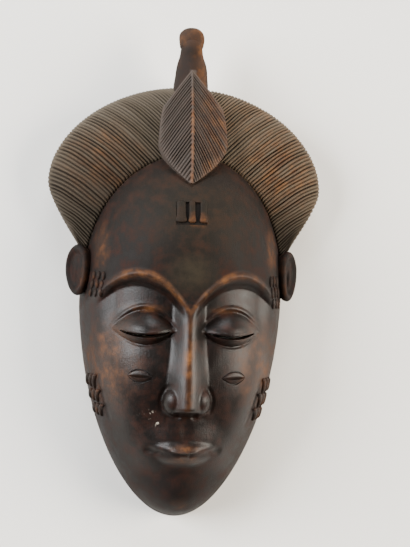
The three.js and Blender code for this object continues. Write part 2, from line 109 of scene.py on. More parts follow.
def egg_radius(x, y):
    """Plan place back to its distance from the disc's middle, 1 on the outline."""
    dy = (y - EGG["wide"]) / np.where(y > EGG["wide"], EGG["crown"], EGG["chin"])
    return np.hypot(x / (FACE_HALF * (1 - EGG["taper"] * np.minimum(dy, 0) ** 2)), dy)


def dome_z(radius, depth):
    """Depth times the root of one less a power of the radius: full, then steep."""
    return depth * np.sqrt(1 - np.clip(radius, 0, 1) ** EGG["power"])


def brow_line(x):
    """Each brow is one parabola, highest over the outer half of its eye."""
    return BROW["y"] - BROW["drop"] * ((np.abs(x) - BROW["peak"]) / BROW["reach"]) ** 2


def brows(ax, y):
    """A socket sunk under each brow line, and a thin raised ridge along it."""
    below = brow_line(ax) - y
    socket = smooth(*SOCKET["edge"], below) * (1 - smooth(*SOCKET["low"], below))
    socket = socket * (1 - smooth(*SOCKET["side"], ax))
    ridge = mound((below + BROW_RIDGE["above"]) / BROW_RIDGE["half"])
    ridge = ridge * (1 - smooth(*BROW_RIDGE["side"], ax))
    return BROW_RIDGE["rise"] * ridge - SOCKET["depth"] * socket


def eyes(ax, y):
    """A lens for each eyeball, an engraved line round it, a fold over the upper lid, and a
    thin raised border on both sides of the slit."""
    u = (ax - EYE["x"]) / EYE["half"]
    v = y - EYE["y"]
    round_u = np.maximum(0, 1 - u * u)
    lens = np.maximum(0.01, np.where(v > 0, EYE["up"], EYE["down"]) * round_u)
    inside = np.maximum(0, 1 - (v / lens) ** 2)
    gap = np.abs(v) - lens
    h = EYE["rise"] * round_u * inside + roll(EYE_LINE, gap) * round_u ** 0.7
    h = h + roll(LID_FOLD, gap) * (v > 0) * round_u ** 0.8
    s = (ax - EYE["x"]) / SLIT["half"]
    beside = np.abs(y - SLIT["y"] - SLIT["curl"] * s * s) - SLIT["open"]
    return h + roll(SLIT_BORDER, beside) * np.maximum(0, 1 - s * s)


def nose_over(h, ax, y):
    """Mixes the nose's own ridge into the height below it, then sets a round lobe on each
    side, a crease round the lobe and a hole under it."""
    t = np.clip((NOSE["top"] - y) / (NOSE["top"] - NOSE["base"]), 0, 1)
    half = NOSE["bridge"] + (NOSE["tip"] - NOSE["bridge"]) * t ** 1.5
    reach = NOSE["spread"] * half + NOSE["apron"]
    share = smooth(*NOSE["starts"], y) * smooth(*NOSE["ends"], y)
    share = share * np.maximum(0, 1 - (ax / reach) ** 2) ** 1.7
    h = h + (NOSE["rise"] * t - h) * share

    across = (ax - NOSTRIL["x"]) / NOSTRIL["across"]
    lobe = across ** 2 + ((y - NOSTRIL["y"]) / NOSTRIL["down"]) ** 2
    crease = mound((np.sqrt(lobe) - NOSTRIL_CREASE["out"]) / NOSTRIL_CREASE["half"])
    h = h - NOSTRIL_CREASE["depth"] * crease * smooth(*NOSTRIL_CREASE["side"], ax)
    flank = NOSTRIL["rise"] * np.sqrt(np.maximum(0, 1 - lobe))
    higher = 0.5 * (h + flank + np.sqrt((h - flank) ** 2 + 0.6))  # the higher of both, blended
    return h + (higher - h) * smooth(1.15, 0.85, lobe) + swell(NOSTRIL_HOLE, ax, y)


def lips(x, y):
    """Two soft rolls, the lower one shorter and fuller, with a fine groove between them and a
    dent at each corner."""
    u = x / MOUTH["half"]
    away = y - MOUTH["y"] - MOUTH["curl"] * u * u
    upper = 1 - u * u - (away / MOUTH["upper"] - MOUTH["apart"]) ** 2
    lower = 1 - (u / MOUTH["shorter"]) ** 2 - (away / MOUTH["lower"] + MOUTH["apart"]) ** 2
    rolls = np.maximum(0, upper) ** MOUTH["full"] + np.maximum(0, lower) ** MOUTH["full"]
    groove = LIP_GROOVE["depth"] * mound(away / LIP_GROOVE["half"]) * np.maximum(0, 1 - u * u)
    return MOUTH["rise"] * rolls - groove + swell(MOUTH_CORNER, np.abs(x), y)


def jaw_cut(x, y):
    """The line cut beside the jaw marks: 1 along its middle, 0 away from it."""
    line = np.where(x < 0, *JAW_CUT["radius"])
    across = mound((egg_radius(x, y) - line) / JAW_CUT["half"])
    return across * mound((y - JAW_CUT["y"]) / JAW_CUT["tall"])


def hand_cut(x, y):
    """Crossed waves a few tenths of a millimetre deep, as a knife leaves on a smoothed face."""
    wave = np.sin(x / 5.3 + 1.7 * np.sin(y / 19)) * np.sin(y / 8.1 + 1.1 * np.sin(x / 23))
    return 0.11 * wave + 0.22 * np.sin(x / 17 + y / 41 + 0.6) * np.sin(y / 29 - x / 53) - 0.33


def face_z(x, y):
    """Height of the carved face: the dome, and on it the carving, fading out at the rim."""
    ax = np.abs(x)
    h = swell(FOREHEAD, ax, y) + brows(ax, y) + eyes(ax, y)
    for form in (CHEEK, MUZZLE, PHILTRUM, CHIN):
        h = h + swell(form, ax, y)
    h = nose_over(h, ax, y) + lips(x, y) + hand_cut(x, y) - JAW_CUT["depth"] * jaw_cut(x, y)
    radius = egg_radius(x, y)
    return dome_z(radius, DOME_DEPTH) + h * smooth(1, CARVED, radius)


def cells(ids):
    """Two triangles for each cell of a grid of point numbers, mirrored about its middle."""
    a, b, c, d = ids[:-1, :-1], ids[:-1, 1:], ids[1:, 1:], ids[1:, :-1]
    left = (np.arange(a.shape[1]) * 2 < a.shape[1])[None, :, None]
    one = np.where(left, np.stack([a, b, c], -1), np.stack([a, b, d], -1))
    two = np.where(left, np.stack([a, c, d], -1), np.stack([b, c, d], -1))
    return np.concatenate([one.reshape(-1, 3), two.reshape(-1, 3)])


def disc_grid(columns, rows, gather):
    """A square grid bent to the unit disc, closer set towards its outline. Gather draws the
    rows together between the brow and the mouth and the columns towards the middle."""
    t = np.linspace(-1, 1, rows + 1)[:, None]
    c = np.linspace(-1, 1, columns + 1)[None, :]
    b = t - gather * (1 - t * t) * (t + 0.25)
    a = c - gather / 2 * (1 - c * c) * c
    dx = a * np.sqrt(1 - b * b / 2)
    dy = b * np.sqrt(1 - a * a / 2)
    k = 1.2 - 0.2 * (dx * dx + dy * dy)
    return dx * k, dy * k


def dome(x, y, z, floor_z):
    """A dome on a flat floor: a grid of points, and a fan under its edge."""
    z = z.copy()
    for edge in (z[0], z[-1], z[:, 0], z[:, -1]):
        edge[:] = floor_z
    points = np.stack([x, y, z], -1).reshape(-1, 3)
    ids = np.arange(len(points)).reshape(x.shape)
    ring = np.concatenate([ids[0, :-1], ids[:-1, -1], ids[-1, :0:-1], ids[:0:-1, 0]])
    middle = np.full(len(ring), len(points))
    fan = np.stack([np.roll(ring, -1), ring, middle], -1)
    points = np.concatenate([points, [[0, EGG["wide"], floor_z]]])
    return points, np.concatenate([cells(ids), fan])


MARKS = ("groove", "hair", "crest", "raw", "strand", "reach")


def block(name, points, faces, **marks):
    """A closed mesh object from points in millimetres and triangles turned outwards. Each
    mark is a number kept for every point, for the wood to read."""
    a, b, c = points[faces].transpose(1, 0, 2)
    if (a * np.cross(b, c)).sum() < 0:
        faces = faces[:, ::-1]
    mesh = bpy.data.meshes.new(name)
    place = (points - [0, MIDDLE_Y, 0]) * UNIT
    mesh.from_pydata(place.tolist(), [], faces.tolist())
    for mark in MARKS:
        stored = mesh.attributes.new(mark, "FLOAT", "POINT")
        value = np.broadcast_to(marks.get(mark, 0.0), len(points)).astype(np.float32)
        stored.data.foreach_set("value", value)
    known = mesh.attributes.new("known", "FLOAT", "POINT")
    known.data.foreach_set("value", np.ones(len(points), np.float32))
    made = bpy.data.objects.new(name, mesh)
    bpy.context.scene.collection.objects.link(made)
    return made


x, y = egg_plan(*disc_grid(GRID["columns"], GRID["rows"], GRID["gather"]))
to_brow = np.maximum(BROW_ROWS["most"], brow_line(x) - BROW_ROWS["y"])
y = y + mound((y - BROW_ROWS["y"]) / BROW_ROWS["tall"]) * to_brow  # rows near the brow follow it
mask = block("carved_mask", *dome(x, y, face_z(x, y), 0.0))

# The hairdress: two thin wings left standing on the block from ear to crown, then combed
# with a V-shaped gouge from the hairline up and out over the rim. No two grooves are alike.
HAIRLINE = dict(a=72.5, b=89.0, end=10.0, lift=1.5, dip=2.25, edge=1.8)
HAIRLINE_STEPS = (0.0, 0.35, 0.9, 1.8, 3.2)  # rows of points beside the hairline
PARTING = 3.0  # the wings stop this far from the middle, under the crest
WING = dict(ear=(77.5, 23), flare=(85, 34), below=58, widest=69, above=103, shoulder=60, top=141.5)
WING_HALF, WING_ROOT = 101.11, 3.0
WING_FALL, WING_ROUND = 2.2, 1.8  # powers of the slope from the hairline to the rim
WING_GROOVES, GROOVE_ROWS = 67, 4
GROOVE_DEPTH, GROOVE_SWAY = 1.4, 0.3
GROOVE_SLANT = 0.34  # how much further up the rim than along the hairline a groove ends
GROOVE_BEND, GROOVE_ARCH = 0.62, 0.10  # where along its length a groove bends, and how much
RIM_Z, BACK_Z = 20.0, 13.0  # the thin edge's front and its flat back
RIM_ROUND = dict(inset=(0.25, 0.8, 1.6), z=(17.5, 15.0, BACK_Z), cut=(0.8, 0.4, 0.0))
hand = np.random.default_rng(11)


def bezier(points, steps):
    """The curve that four points pull from the first point to the last."""
    t = np.linspace(0, 1, steps)[:, None]
    a, b, c, d = np.asarray(points, float)
    return a * (1 - t) ** 3 + 3 * b * t * (1 - t) ** 2 + 3 * c * t * t * (1 - t) + d * t ** 3


def evenly(path, shares):
    """Points at the given shares of a path's length."""
    steps = np.hypot(*np.diff(path, axis=0).T)
    reach = np.concatenate([[0], np.cumsum(steps)]) / steps.sum()
    return np.stack([np.interp(shares, reach, path[:, k]) for k in (0, 1)], -1)


def combed(count, rows, spread):
    """Shares along a row of grooves cut by eye, and how deep each share lies in its groove:
    0 on the crest between two cuts, about 1 at the bottom of one."""
    width = 1 + spread * hand.uniform(-1, 1, count)
    edge = np.concatenate([[0], np.cumsum(width)]) / width.sum()
    s = np.arange(count * rows + 1) / rows
    depth = np.interp(s, np.arange(count + 1), 1 + 0.25 * hand.uniform(-1, 1, count + 1))
    depth = depth * (1 - np.abs(np.sin(np.pi * s)) ** 1.4)
    return np.interp(s, np.arange(count + 1), edge), depth


def wing_z(z0, gone):
    """Falls from the hairline's height to the rim, slowly first and then steeply."""
    return RIM_Z + (z0 - RIM_Z) * (1 - np.clip(gone, 0, 1) ** WING_FALL) ** (1 / WING_ROUND)


def hair_start_z(p):
    """Height of the hair along its inner edge: on the face, and then down the parting."""
    edge = HAIRLINE["b"] * np.sqrt(1 - np.clip(p[:, 0] / HAIRLINE["a"], 0, 1) ** 2)
    up = np.clip((p[:, 1] - edge) / (WING["top"] - edge), 0, 1)
    on_face = p[:, 1] <= edge + 1
    z0 = face_z(p[:, 0], np.where(on_face, p[:, 1], edge)) + HAIRLINE["lift"]
    return np.where(on_face, z0, wing_z(z0, up))


def tube(rings):
    """A skin through a row of closed rings, each end closed by a fan."""
    count, n = rings.shape[:2]
    ids = np.arange(count * n).reshape(count, n)
    ends = [rings[0].mean(0), rings[-1].mean(0)]
    points = np.concatenate([rings.reshape(-1, 3), ends])
    after = np.roll(ids, -1, 1)
    first = np.stack([after[0], ids[0], np.full(n, count * n)], -1)
    last = np.stack([ids[-1], after[-1], np.full(n, count * n + 1)], -1)
    return points, np.concatenate([cells(np.c_[ids, ids[:, :1]]), first, last])


def with_ends(marks, first=0.0, last=0.0):
    """The marks of a tube's rings in one row, and then those of its two end points."""
    return np.concatenate([marks.ravel(), [first, last]])


def outward(grid):
    """Unit normals of a grid of points, from its differences both ways."""
    n = np.cross(np.gradient(grid, axis=0), np.gradient(grid, axis=1))
    return n / np.maximum(1e-9, np.linalg.norm(n, axis=-1, keepdims=True))


def groove_lines(share):
    """Each groove's start, its line in plan, and the share of the way that each point has
    gone. A groove runs up and out nearly straight, and bends over near the rim. Its points
    stand closer together at both ends, and the last few turn back round the rim."""
    ends = np.arcsin(HAIRLINE["end"] / HAIRLINE["b"]), np.arccos(HAIRLINE["end"] / HAIRLINE["a"])
    angle = np.linspace(*ends, 81)
    line = np.stack([HAIRLINE["a"] * np.cos(angle), HAIRLINE["b"] * np.sin(angle)], -1)
    inner = evenly(np.concatenate([line, [[PARTING, WING["top"] - 2]]]), share)
    widest, top = (WING_HALF, WING["widest"]), (0, WING["top"])
    lower = bezier([WING["ear"], WING["flare"], (WING_HALF, WING["below"]), widest], 60)
    upper = bezier([widest, (WING_HALF, WING["above"]), (WING["shoulder"], WING["top"]), top], 60)
    rim = np.concatenate([lower, upper[1:]])
    outer = evenly(rim[rim[:, 0] > PARTING], share + GROOVE_SLANT * share * (1 - share) ** 2)

    long = np.linalg.norm(outer - inner, axis=1)[:, None]
    start = np.array(HAIRLINE_STEPS) / long
    run = np.sin(np.linspace(0.14, np.pi / 2, 27)) ** (2 / WING_FALL)
    run = (run[None, 1:] - run[0]) / (1 - run[0])
    end = 1 - np.array(RIM_ROUND["inset"]) / long
    t = np.concatenate([start, start[:, -1:] + (1 - start[:, -1:]) * run, end], 1)
    bend = inner + GROOVE_BEND * (outer - inner) + np.array([0, GROOVE_ARCH]) * long
    k = t[..., None]
    plan = inner[:, None] * (1 - k) ** 2 + 2 * bend[:, None] * k * (1 - k) + outer[:, None] * k * k
    return inner, plan, t, 2 * GROOVE_BEND * t * (1 - t) + t * t, long


def wing_front(share, cut):
    """The plain sheet is worked out first, swayed a little as the hand sways, and then sunk
    along its own normals where it is cut, less deep at the hairline and round the rim."""
    inner, plan, t, gone, long = groove_lines(share)
    dip = HAIRLINE["dip"] * (1 - np.clip(gone * long / HAIRLINE["edge"], 0, 1)) ** 2
    z = wing_z(hair_start_z(inner)[:, None], gone) - dip
    z[:, -3:] = RIM_ROUND["z"]
    sheet = np.concatenate([plan, z[..., None]], -1)
    way = np.gradient(inner, axis=0)
    way = way / np.linalg.norm(way, axis=1, keepdims=True)
    sway = GROOVE_SWAY * np.sin(7 * t + 40 * share[:, None]) * np.sin(np.pi * np.clip(t, 0, 1))
    sheet[..., :2] += way[:, None] * sway[..., None]
    normal = outward(sheet)
    normal *= np.sign(normal[..., 2:3].mean())
    strength = (1 - 0.55 * smooth(0.88, 1, t)) * smooth(-0.004, 0.02, t)
    strength[:, -3:] *= RIM_ROUND["cut"]
    depth = cut[:, None] * strength
    return inner, sheet - normal * (GROOVE_DEPTH * depth)[..., None], t, depth


def wing(side):
    """Each ring runs along a groove over the front and round the rim, and back underneath,
    where the flat back is left rough from the gouge."""
    share, cut = combed(WING_GROOVES, GROOVE_ROWS, 0.16)
    inner, sheet, t, depth = wing_front(share, cut)
    under = np.linspace(0.94, 0, 7)
    root = inner * (1 - WING_ROOT / np.array([HAIRLINE["a"], HAIRLINE["b"]]))
    flat = root[:, None] + (sheet[:, -1, :2] - root)[:, None] * under[None, :, None]
    gouged = 0.35 * np.sin(flat[..., 0] / 3.1) * np.sin(flat[..., 1] / 7.3) * np.sin(np.pi * under)
    flat = np.concatenate([flat, BACK_Z + gouged[..., None]], -1)
    rings = np.concatenate([sheet, flat], 1) * [side, 1, 1]
    groove, back = np.zeros(rings.shape[:2]), np.zeros(rings.shape[:2])
    # The groove mark, the depth of each cut, darkens the hair's grooves as painted shade.
    groove[:, :t.shape[1]] = depth
    back[:, t.shape[1]:] = 1
    strand = share[:, None] * WING_GROOVES + 100 + 100 * side + 0 * back
    reach = np.concatenate([t, np.broadcast_to(under, flat.shape[:2])], 1)
    raw = with_ends(back)
    return block("wing", *tube(rings), groove=with_ends(groove), hair=1 - raw, raw=raw,
                 strand=with_ends(strand), reach=with_ends(reach))


wings = [wing(side) for side in (-1, 1)]

# The crest: a thick leaf left standing on the parting of the hair, with a raised midrib and
# chevrons cut from it down to both edges, wider spaced towards the tip over the forehead.
LEAF = dict(tip=67.2, apex=150.4, half=23.2, rib=-1.3, middle=0.6, blunt=1.0, full=0.34, low=50.0,
            rise=23.0, roof=9.0, foot=24.0)
LEAF_WALL = dict(drop=(0.12, 0.3, 0.6, 1.0), out=0.5, flare=0.7, narrow=8.0)
MIDRIB = dict(half=1.2, rise=0.6)
CHEVRONS, CHEVRON_ROWS = 26, 4
CHEVRON_DEPTH = 1.0
CHEVRON_GROWTH = 4.2 / 2.4  # how much wider they are set at the tip than at the apex


def leaf_half(y):
    """Half width: it widens to the full width at a third of the way up, then runs to a point."""
    t = np.clip((y - LEAF["tip"]) / (LEAF["apex"] - LEAF["tip"]), 0, 1)
    opening = 1 - np.maximum(0, 1 - t / LEAF["full"]) ** 1.6
    return LEAF["half"] * opening * (1 - t ** 5.2) + LEAF["blunt"] * (1 - t)


def leaf_place(x):
    """Distance from the midrib to the place across the mask: the right half is the wider one."""
    return LEAF["rib"] + x * (1 + np.sign(x) * (LEAF["middle"] - LEAF["rib"]) / LEAF["half"])


def leaf_z(x, y):
    """A ridge that falls as a parabola towards the apex, with a roof sloping to both edges."""
    t = np.clip((y - LEAF["tip"]) / (LEAF["apex"] - LEAF["tip"]), 0, 1)
    half = np.maximum(leaf_half(y), 0.5)
    roof = LEAF["roof"] * np.minimum(1, half / 20)
    return LEAF["low"] + LEAF["rise"] * (1 - t * t) - roof * np.clip(np.abs(x) / half, 0, 1) ** 1.3


def chevron(y0, slant, s):
    """Where a groove is, this far down from its start on the midrib: it bends down as it goes."""
    return slant * s * (1 - 0.2 * s / (s + 12)), y0 - s


def groove_reach(y0, slant):
    """How far a groove runs from the midrib to the edge, by halving the span that holds it."""
    inside, outside = np.zeros_like(y0), y0 - LEAF["tip"]
    for _ in range(24):
        s = (inside + outside) / 2
        x, y = chevron(y0, slant, s)
        within = x < leaf_half(y)
        inside, outside = np.where(within, s, inside), np.where(within, outside, s)
    return inside


def leaf_side(share, cut, y0, slant):
    """One half of every ring: out along its groove over the roof, and down the side wall."""
    t = np.linspace(0, 1, 27)[None, 1:]
    x, y = chevron(y0[:, None], slant[:, None], groove_reach(y0, slant)[:, None] * t)
    depth = cut[:, None] * smooth(0.2, 1.1, x) * (1 - 0.6 * t ** 8)
    depth = depth * smooth(0.0, 0.07, share)[:, None]
    z = leaf_z(x, y) - CHEVRON_DEPTH * depth + MIDRIB["rise"] * mound(x / MIDRIB["half"])
    roof = np.stack([x, y, z], -1)
    edge_x, edge_y, edge_z = roof[:, -1:].transpose(2, 0, 1)
    drop = np.array([LEAF_WALL["drop"]])
    out = LEAF_WALL["out"] + LEAF_WALL["flare"] * drop
    wall_x = edge_x + np.minimum(1, edge_x / LEAF_WALL["narrow"]) * out
    wall_z = edge_z + (LEAF["foot"] - edge_z) * drop
    wall = np.stack([wall_x, edge_y + 0 * wall_x, wall_z], -1)
    reach = np.concatenate([x / 25, 0 * wall_x + 1], 1)
    return np.concatenate([roof, wall], 1), np.concatenate([depth, 0 * wall_x], 1), reach


def crest():
    """One ring for each place along a chevron pattern: up one wall, over the roof, down again.
    The right side's chevrons are cut steeper than the left side's."""
    share, cut = combed(CHEVRONS, CHEVRON_ROWS, 0.1)
    q = (CHEVRON_GROWTH ** share - 1) / (CHEVRON_GROWTH - 1)
    y0 = LEAF["apex"] - 0.5 - (LEAF["apex"] - LEAF["tip"] - 1) * q
    left, left_cut, left_reach = leaf_side(share, cut, y0, 0.9 - 0.1 * q)
    right, right_cut, right_reach = leaf_side(share, cut, y0, 0.88 - 0.46 * q ** 0.8)
    ridge = np.stack([0 * y0, y0, leaf_z(0 * y0, y0) + MIDRIB["rise"]], -1)[:, None]
    none = 0 * y0[:, None]
    rings = np.concatenate([left[:, ::-1] * [-1, 1, 1], ridge, right], 1)
    rings[..., 0] = leaf_place(rings[..., 0])
    # The chevrons' depth goes to the groove mark: painted shade in each cut.
    groove = np.concatenate([left_cut[:, ::-1], none, right_cut], 1)
    reach = np.concatenate([left_reach[:, ::-1], none, right_reach], 1)
    strand = 300 + share[:, None] * CHEVRONS + 0 * groove
    return block("leaf", *tube(rings), groove=with_ends(groove), reach=with_ends(reach),
                 strand=with_ends(strand), crest=1.0)


leaf = crest()

# The stalk: an oval stem that grows out of the hair behind the leaf and narrows to a neck,
# with a knob like an acorn's cup on its end, which the stem laps over in front.
STALK_HALF, NECK_HALF, KNOB_HALF = 12.75, 7.75, 9.3
STALK = np.array([  # place up the mask, share of the full width over the neck's, back, front
    [100, 1, 14, 38], [118, 1, 14, 42], [136, 1, 16, 46.5], [146, 0.83, 20, 46.5],
    [152, 0.72, 23, 46.5], [157, 0.46, 26, 46.5], [161, 0.19, 28, 47], [166, 0.04, 30, 48.5],
    [170, -0.12, 31, 49], [172.5, -0.45, 33, 47.6],
])
STALK_KEEL, STALK_CUT = 1.2, 0.18
STALK_LEAN = -1.1  # the knob stands this far off the middle, and the stalk bends to it
KNOB = np.array([  # share of the way down the knob, share of its full radius
    [0, 0.06], [0.03, 0.4], [0.1, 0.66], [0.23, 0.88], [0.4, 0.99], [0.58, 1], [0.78, 0.95],
    [0.93, 0.88], [1, 0.7],
])
KNOB_TALL, KNOB_Z, KNOB_CUT = 15.6, 39.0, 0.012


def flowing(table, steps):
    """A smooth curve through each column of a table, rounded between its rows by cubics."""
    along = np.linspace(0, len(table) - 1, steps)
    k = np.minimum(along.astype(int), len(table) - 2)
    t = (along - k)[:, None]
    pull = np.gradient(table, axis=0)
    a, b = table[k], table[k + 1]
    return (a * (1 + 2 * t) * (1 - t) ** 2 + b * t * t * (3 - 2 * t)
            + pull[k] * t * (1 - t) ** 2 - pull[k + 1] * t * t * (1 - t))


def stalk():
    """An oval ring at each place, drawn to a soft keel along its front."""
    y, share, back, front = (column[:, None] for column in flowing(STALK, 46).T)
    angle = np.linspace(0, 2 * np.pi, 48, endpoint=False)[None]
    half = NECK_HALF + (STALK_HALF - NECK_HALF) * share
    keel = STALK_KEEL * np.maximum(0, np.sin(angle)) ** 12 * smooth(166, 150, y)
    z = (back + front) / 2 + (front - back) / 2 * np.sin(angle) + keel
    cut = STALK_CUT * np.sin(3 * angle + y / 4) * np.sin(y / 6)
    x = half * np.cos(angle) + STALK_LEAN * smooth(148, 172, y)
    rings = np.stack([x + cut, y + 0 * x, z + cut], -1)
    # Painted shade round the stalk just under the knob, on all but its front.
    cap_shade = mound((y - 168) / 4) * smooth(0.9, 0.3, np.sin(angle))
    return block("stalk", *tube(rings), crest=1.0, groove=with_ends(cap_shade))


def knob():
    """A round profile turned about the stalk's axis, with knife flats a hair deep."""
    down, radius = (column[:, None] for column in flowing(KNOB, 26).T)
    angle = np.linspace(0, 2 * np.pi, 36, endpoint=False)[None]
    radius = KNOB_HALF * radius * (1 - KNOB_CUT * (1 + np.sin(5 * angle + 6 * down)))
    x, z = STALK_LEAN + radius * np.cos(angle), KNOB_Z + radius * np.sin(angle)
    rings = np.stack([x, 180 + MIDDLE_Y - KNOB_TALL * down + 0 * x, z], -1)
    # Painted shade round the knob's lower edge, where it meets the stalk.
    cap_shade = smooth(0.86, 0.98, down) + 0 * x
    return block("knob", *tube(rings), crest=1.0, groove=with_ends(cap_shade, 0, 1))


stem, cup = stalk(), knob()

# The ears: oval dishes left on the sides of the block and turned half forwards, smooth with a
# thin rolled rim. The right one has a slanting cut across its hollow.
EAR = dict(x=77.6, y=4.9, z=27.0, half_width=13.5, half_height=18.5, thick=5.0, lip=2.2)
EAR_ACROSS, EAR_FACING = np.array([0.53, 0, -0.848]), np.array([0.848, 0, 0.53])
EAR_ROLL = dict(start=0.6, top=0.86, rise=2.6)
EAR_LOBE = dict(rise=1.4, v=0.2, across=0.7, down=0.8)
EAR_CUT = dict(half=0.2, depth=(0.5, 2.4), shade=(0.25, 0.9))  # left, right


def ear(side):
    """Rings from the middle of the dish out to its rim and round to a flat back."""
    angle = np.linspace(0, 2 * np.pi, 56, endpoint=False)[None]
    r = np.concatenate([np.linspace(0.04, 0.55, 7), np.linspace(0.6, 0.99, 14), [1.0]])[:, None]
    v = r * np.sin(angle) * (1 - 0.08 * np.cos(angle))
    u = r * np.cos(angle) * (1 + 0.09 * np.sin(angle))
    past = np.clip((r - EAR_ROLL["top"]) / (1 - EAR_ROLL["top"]), 0, 1)
    rim = EAR_ROLL["rise"] * smooth(EAR_ROLL["start"], EAR_ROLL["top"], r) * np.sqrt(1 - past ** 2)
    lobe = mound(u / EAR_LOBE["across"], (v - EAR_LOBE["v"]) / EAR_LOBE["down"])
    slant = mound((u + 0.1 + 0.45 * v) / EAR_CUT["half"]) * mound(np.hypot(u, v + 0.2) / 0.62)
    out = rim + EAR_LOBE["rise"] * lobe - EAR_CUT["depth"][side > 0] * slant
    u = np.concatenate([u, 0.96 * u[-1:], 0.86 * u[-1:]])
    v = np.concatenate([v, 0.96 * v[-1:], 0.86 * v[-1:]])
    behind = [np.full_like(out[:1], -EAR["lip"]), np.full_like(out[:1], -EAR["thick"])]
    out = np.concatenate([out, *behind])
    centre = np.array([EAR["x"], EAR["y"], EAR["z"]])
    rings = centre + EAR["half_width"] * u[..., None] * EAR_ACROSS + out[..., None] * EAR_FACING
    rings[..., 1] += EAR["half_height"] * v
    shade = np.zeros(rings.shape[:2])
    shade[:slant.shape[0]] = EAR_CUT["shade"][side > 0] * slant
    return block("ear", *tube(rings * [side, 1, 1]), groove=with_ends(shade, shade[0].max()))


ears = [ear(side) for side in (-1, 1)]

# The skin marks: raised scars, each a small pad left proud of the smoothed face. Three bars
# in a sunk field on the forehead, grains on the temples, a bean on each cheek, bars on the jaw.
FOREHEAD_MARK = dict(x=-1.4, y=46.2, width=22.4, height=17.2, sink=1.7, foot=1.9,
                     bars=((-7.4, 6.4), (0.3, 4.2), (8.6, 5.0)))
CHEEK_MARK = dict(x=33.0, y=-67.0, length=20.0, height=10.6, sink=1.3, gap=1.0)
TEMPLE_MARK = dict(y=-6.0, columns=3, rows=3, x=(63.4, 64.4), across=(3.2, 2.9), down=(6.2, 8.0),
                   lean=(1.0, 1.7), width=4.0, height=(6.6, 8.6), lower=1.2)  # left, right
JAW_MARK = dict(y=-84.5, rows=3, columns=3, radius=(0.947, 0.905), across=(2.2, 2.9), down=10.4,
                width=(4.4, 5.0), height=12.2, bow=1.1)
BAR = dict(rise=0.4, power=14, point=0.5, flare=0.3)
BEAN = dict(rise=0.4, power=2, point=1, crease=1.3, turn=90)
GRAIN = dict(rise=1.5, power=2.4, point=0.7)
JAW_BAR = dict(rise=2.0, power=5, point=0.5)
PAD_ROOT = 3.0  # how deep a pad reaches into the face


def stand(x, y):
    """The face's surface at a plan place, and its directions across, up and outwards."""
    step = 1.5
    px, py = np.array([x, x + step, x - step, x, x]), np.array([y, y, y, y + step, y - step])
    middle, east, west, north, south = np.stack([px, py, face_z(px, py)], -1)
    up = (north - south) / np.linalg.norm(north - south)
    normal = np.cross(east - west, up)
    normal = normal / np.linalg.norm(normal)
    return middle, np.cross(up, normal), up, normal


def pad(x, y, width, height, rise, turn=0.0, power=2.6, point=0.6, crease=0.0, flare=0.0, bow=0.0):
    """A ridge with a round section that narrows to both ends: the higher the power, the later,
    and the higher the point, the sharper. Crease cuts a groove along it, a little to one side;
    flare widens its lower end; bow bends its middle to the right."""
    along = np.sin(np.linspace(-1, 1, 13) * np.pi / 2)[:, None] * 0.992
    angle = np.linspace(-np.pi / 2, np.pi / 2, 17 if crease else 9)[None]
    taper = (1 - np.abs(along) ** power) ** point
    u = np.sin(angle) * taper * (1 + flare * mound((along + 1) / 0.7))
    w = (rise + 0.8) * np.cos(angle) ** 0.75 * taper ** 0.5 - 0.8
    w = w - crease * mound((np.sin(angle) + 0.15) / 0.24) * taper
    u = np.concatenate([u, 0.8 * taper, -0.8 * taper], 1)
    w = np.concatenate([w, np.full((len(along), 2), -PAD_ROOT)], 1)
    middle, right, up, normal = stand(x, y)
    c, s = np.cos(np.radians(turn)), np.sin(np.radians(turn))
    right, up = c * right + s * up, c * up - s * right
    v = np.broadcast_to(along, u.shape)[..., None]
    across = (width / 2 * u + bow * (1 - 2 * along * along))[..., None]
    return tube(middle + across * right + height / 2 * v * up + w[..., None] * normal)


def together(parts):
    """Several closed skins as one list of points and one of triangles."""
    starts = np.cumsum([0] + [len(points) for points, _ in parts[:-1]])
    faces = [faces + start for (_, faces), start in zip(parts, starts)]
    return np.concatenate([points for points, _ in parts]), np.concatenate(faces)


def temple_pads(k, side):
    """Rows of grains beside one eye, each grain turned a little by hand."""
    m = TEMPLE_MARK
    made = []
    for j in range(m["rows"]):
        up = j - (m["rows"] - 1) / 2
        y = m["y"] + up * m["down"][k] - m["lower"] * side
        for i in range(m["columns"]):
            x = m["x"][k] + (i - (m["columns"] - 1) / 2) * m["across"][k] - up * m["lean"][k]
            turn = side * (10 + 10 * hand.uniform(-1, 1))
            made.append(pad(side * x, y, m["width"], m["height"][k], turn=turn, **GRAIN))
    return made


def jaw_pads(k, side):
    """Rows of bowed bars on one side of the jaw. Those of one row touch each other."""
    m = JAW_MARK
    made = []
    for j in range(m["rows"]):
        y = m["y"] + (j - (m["rows"] - 1) / 2) * m["down"]
        dy = (y - EGG["wide"]) / EGG["chin"]
        middle = float(egg_plan(np.sqrt(m["radius"][k] ** 2 - dy * dy), dy)[0])
        for i in range(m["columns"]):
            x = middle - ((m["columns"] - 1) / 2 - i) * m["across"][k]
            turn = side * (3 + 3 * hand.uniform(-1, 1))
            bar = dict(JAW_BAR, turn=turn, bow=side * m["bow"])
            made.append(pad(side * x, y, m["width"][k], m["height"], **bar))
    return made


def pads():
    """All the pads: the forehead's bars, and then each side's bean, grains and jaw bars."""
    m = FOREHEAD_MARK
    tall = m["height"] - m["foot"] + 1
    made = [pad(m["x"] + x, m["y"] + m["foot"] / 2 + 0.5, width, tall, **BAR)
            for x, width in m["bars"]]
    m = CHEEK_MARK
    wide, long = m["height"] - 2 * m["gap"], m["length"] - 2.2 * m["gap"]
    for k, side in enumerate((-1, 1)):
        made.append(pad(side * m["x"], m["y"], wide, long, **BEAN))
        made += temple_pads(k, side) + jaw_pads(k, side)
    return together(made)


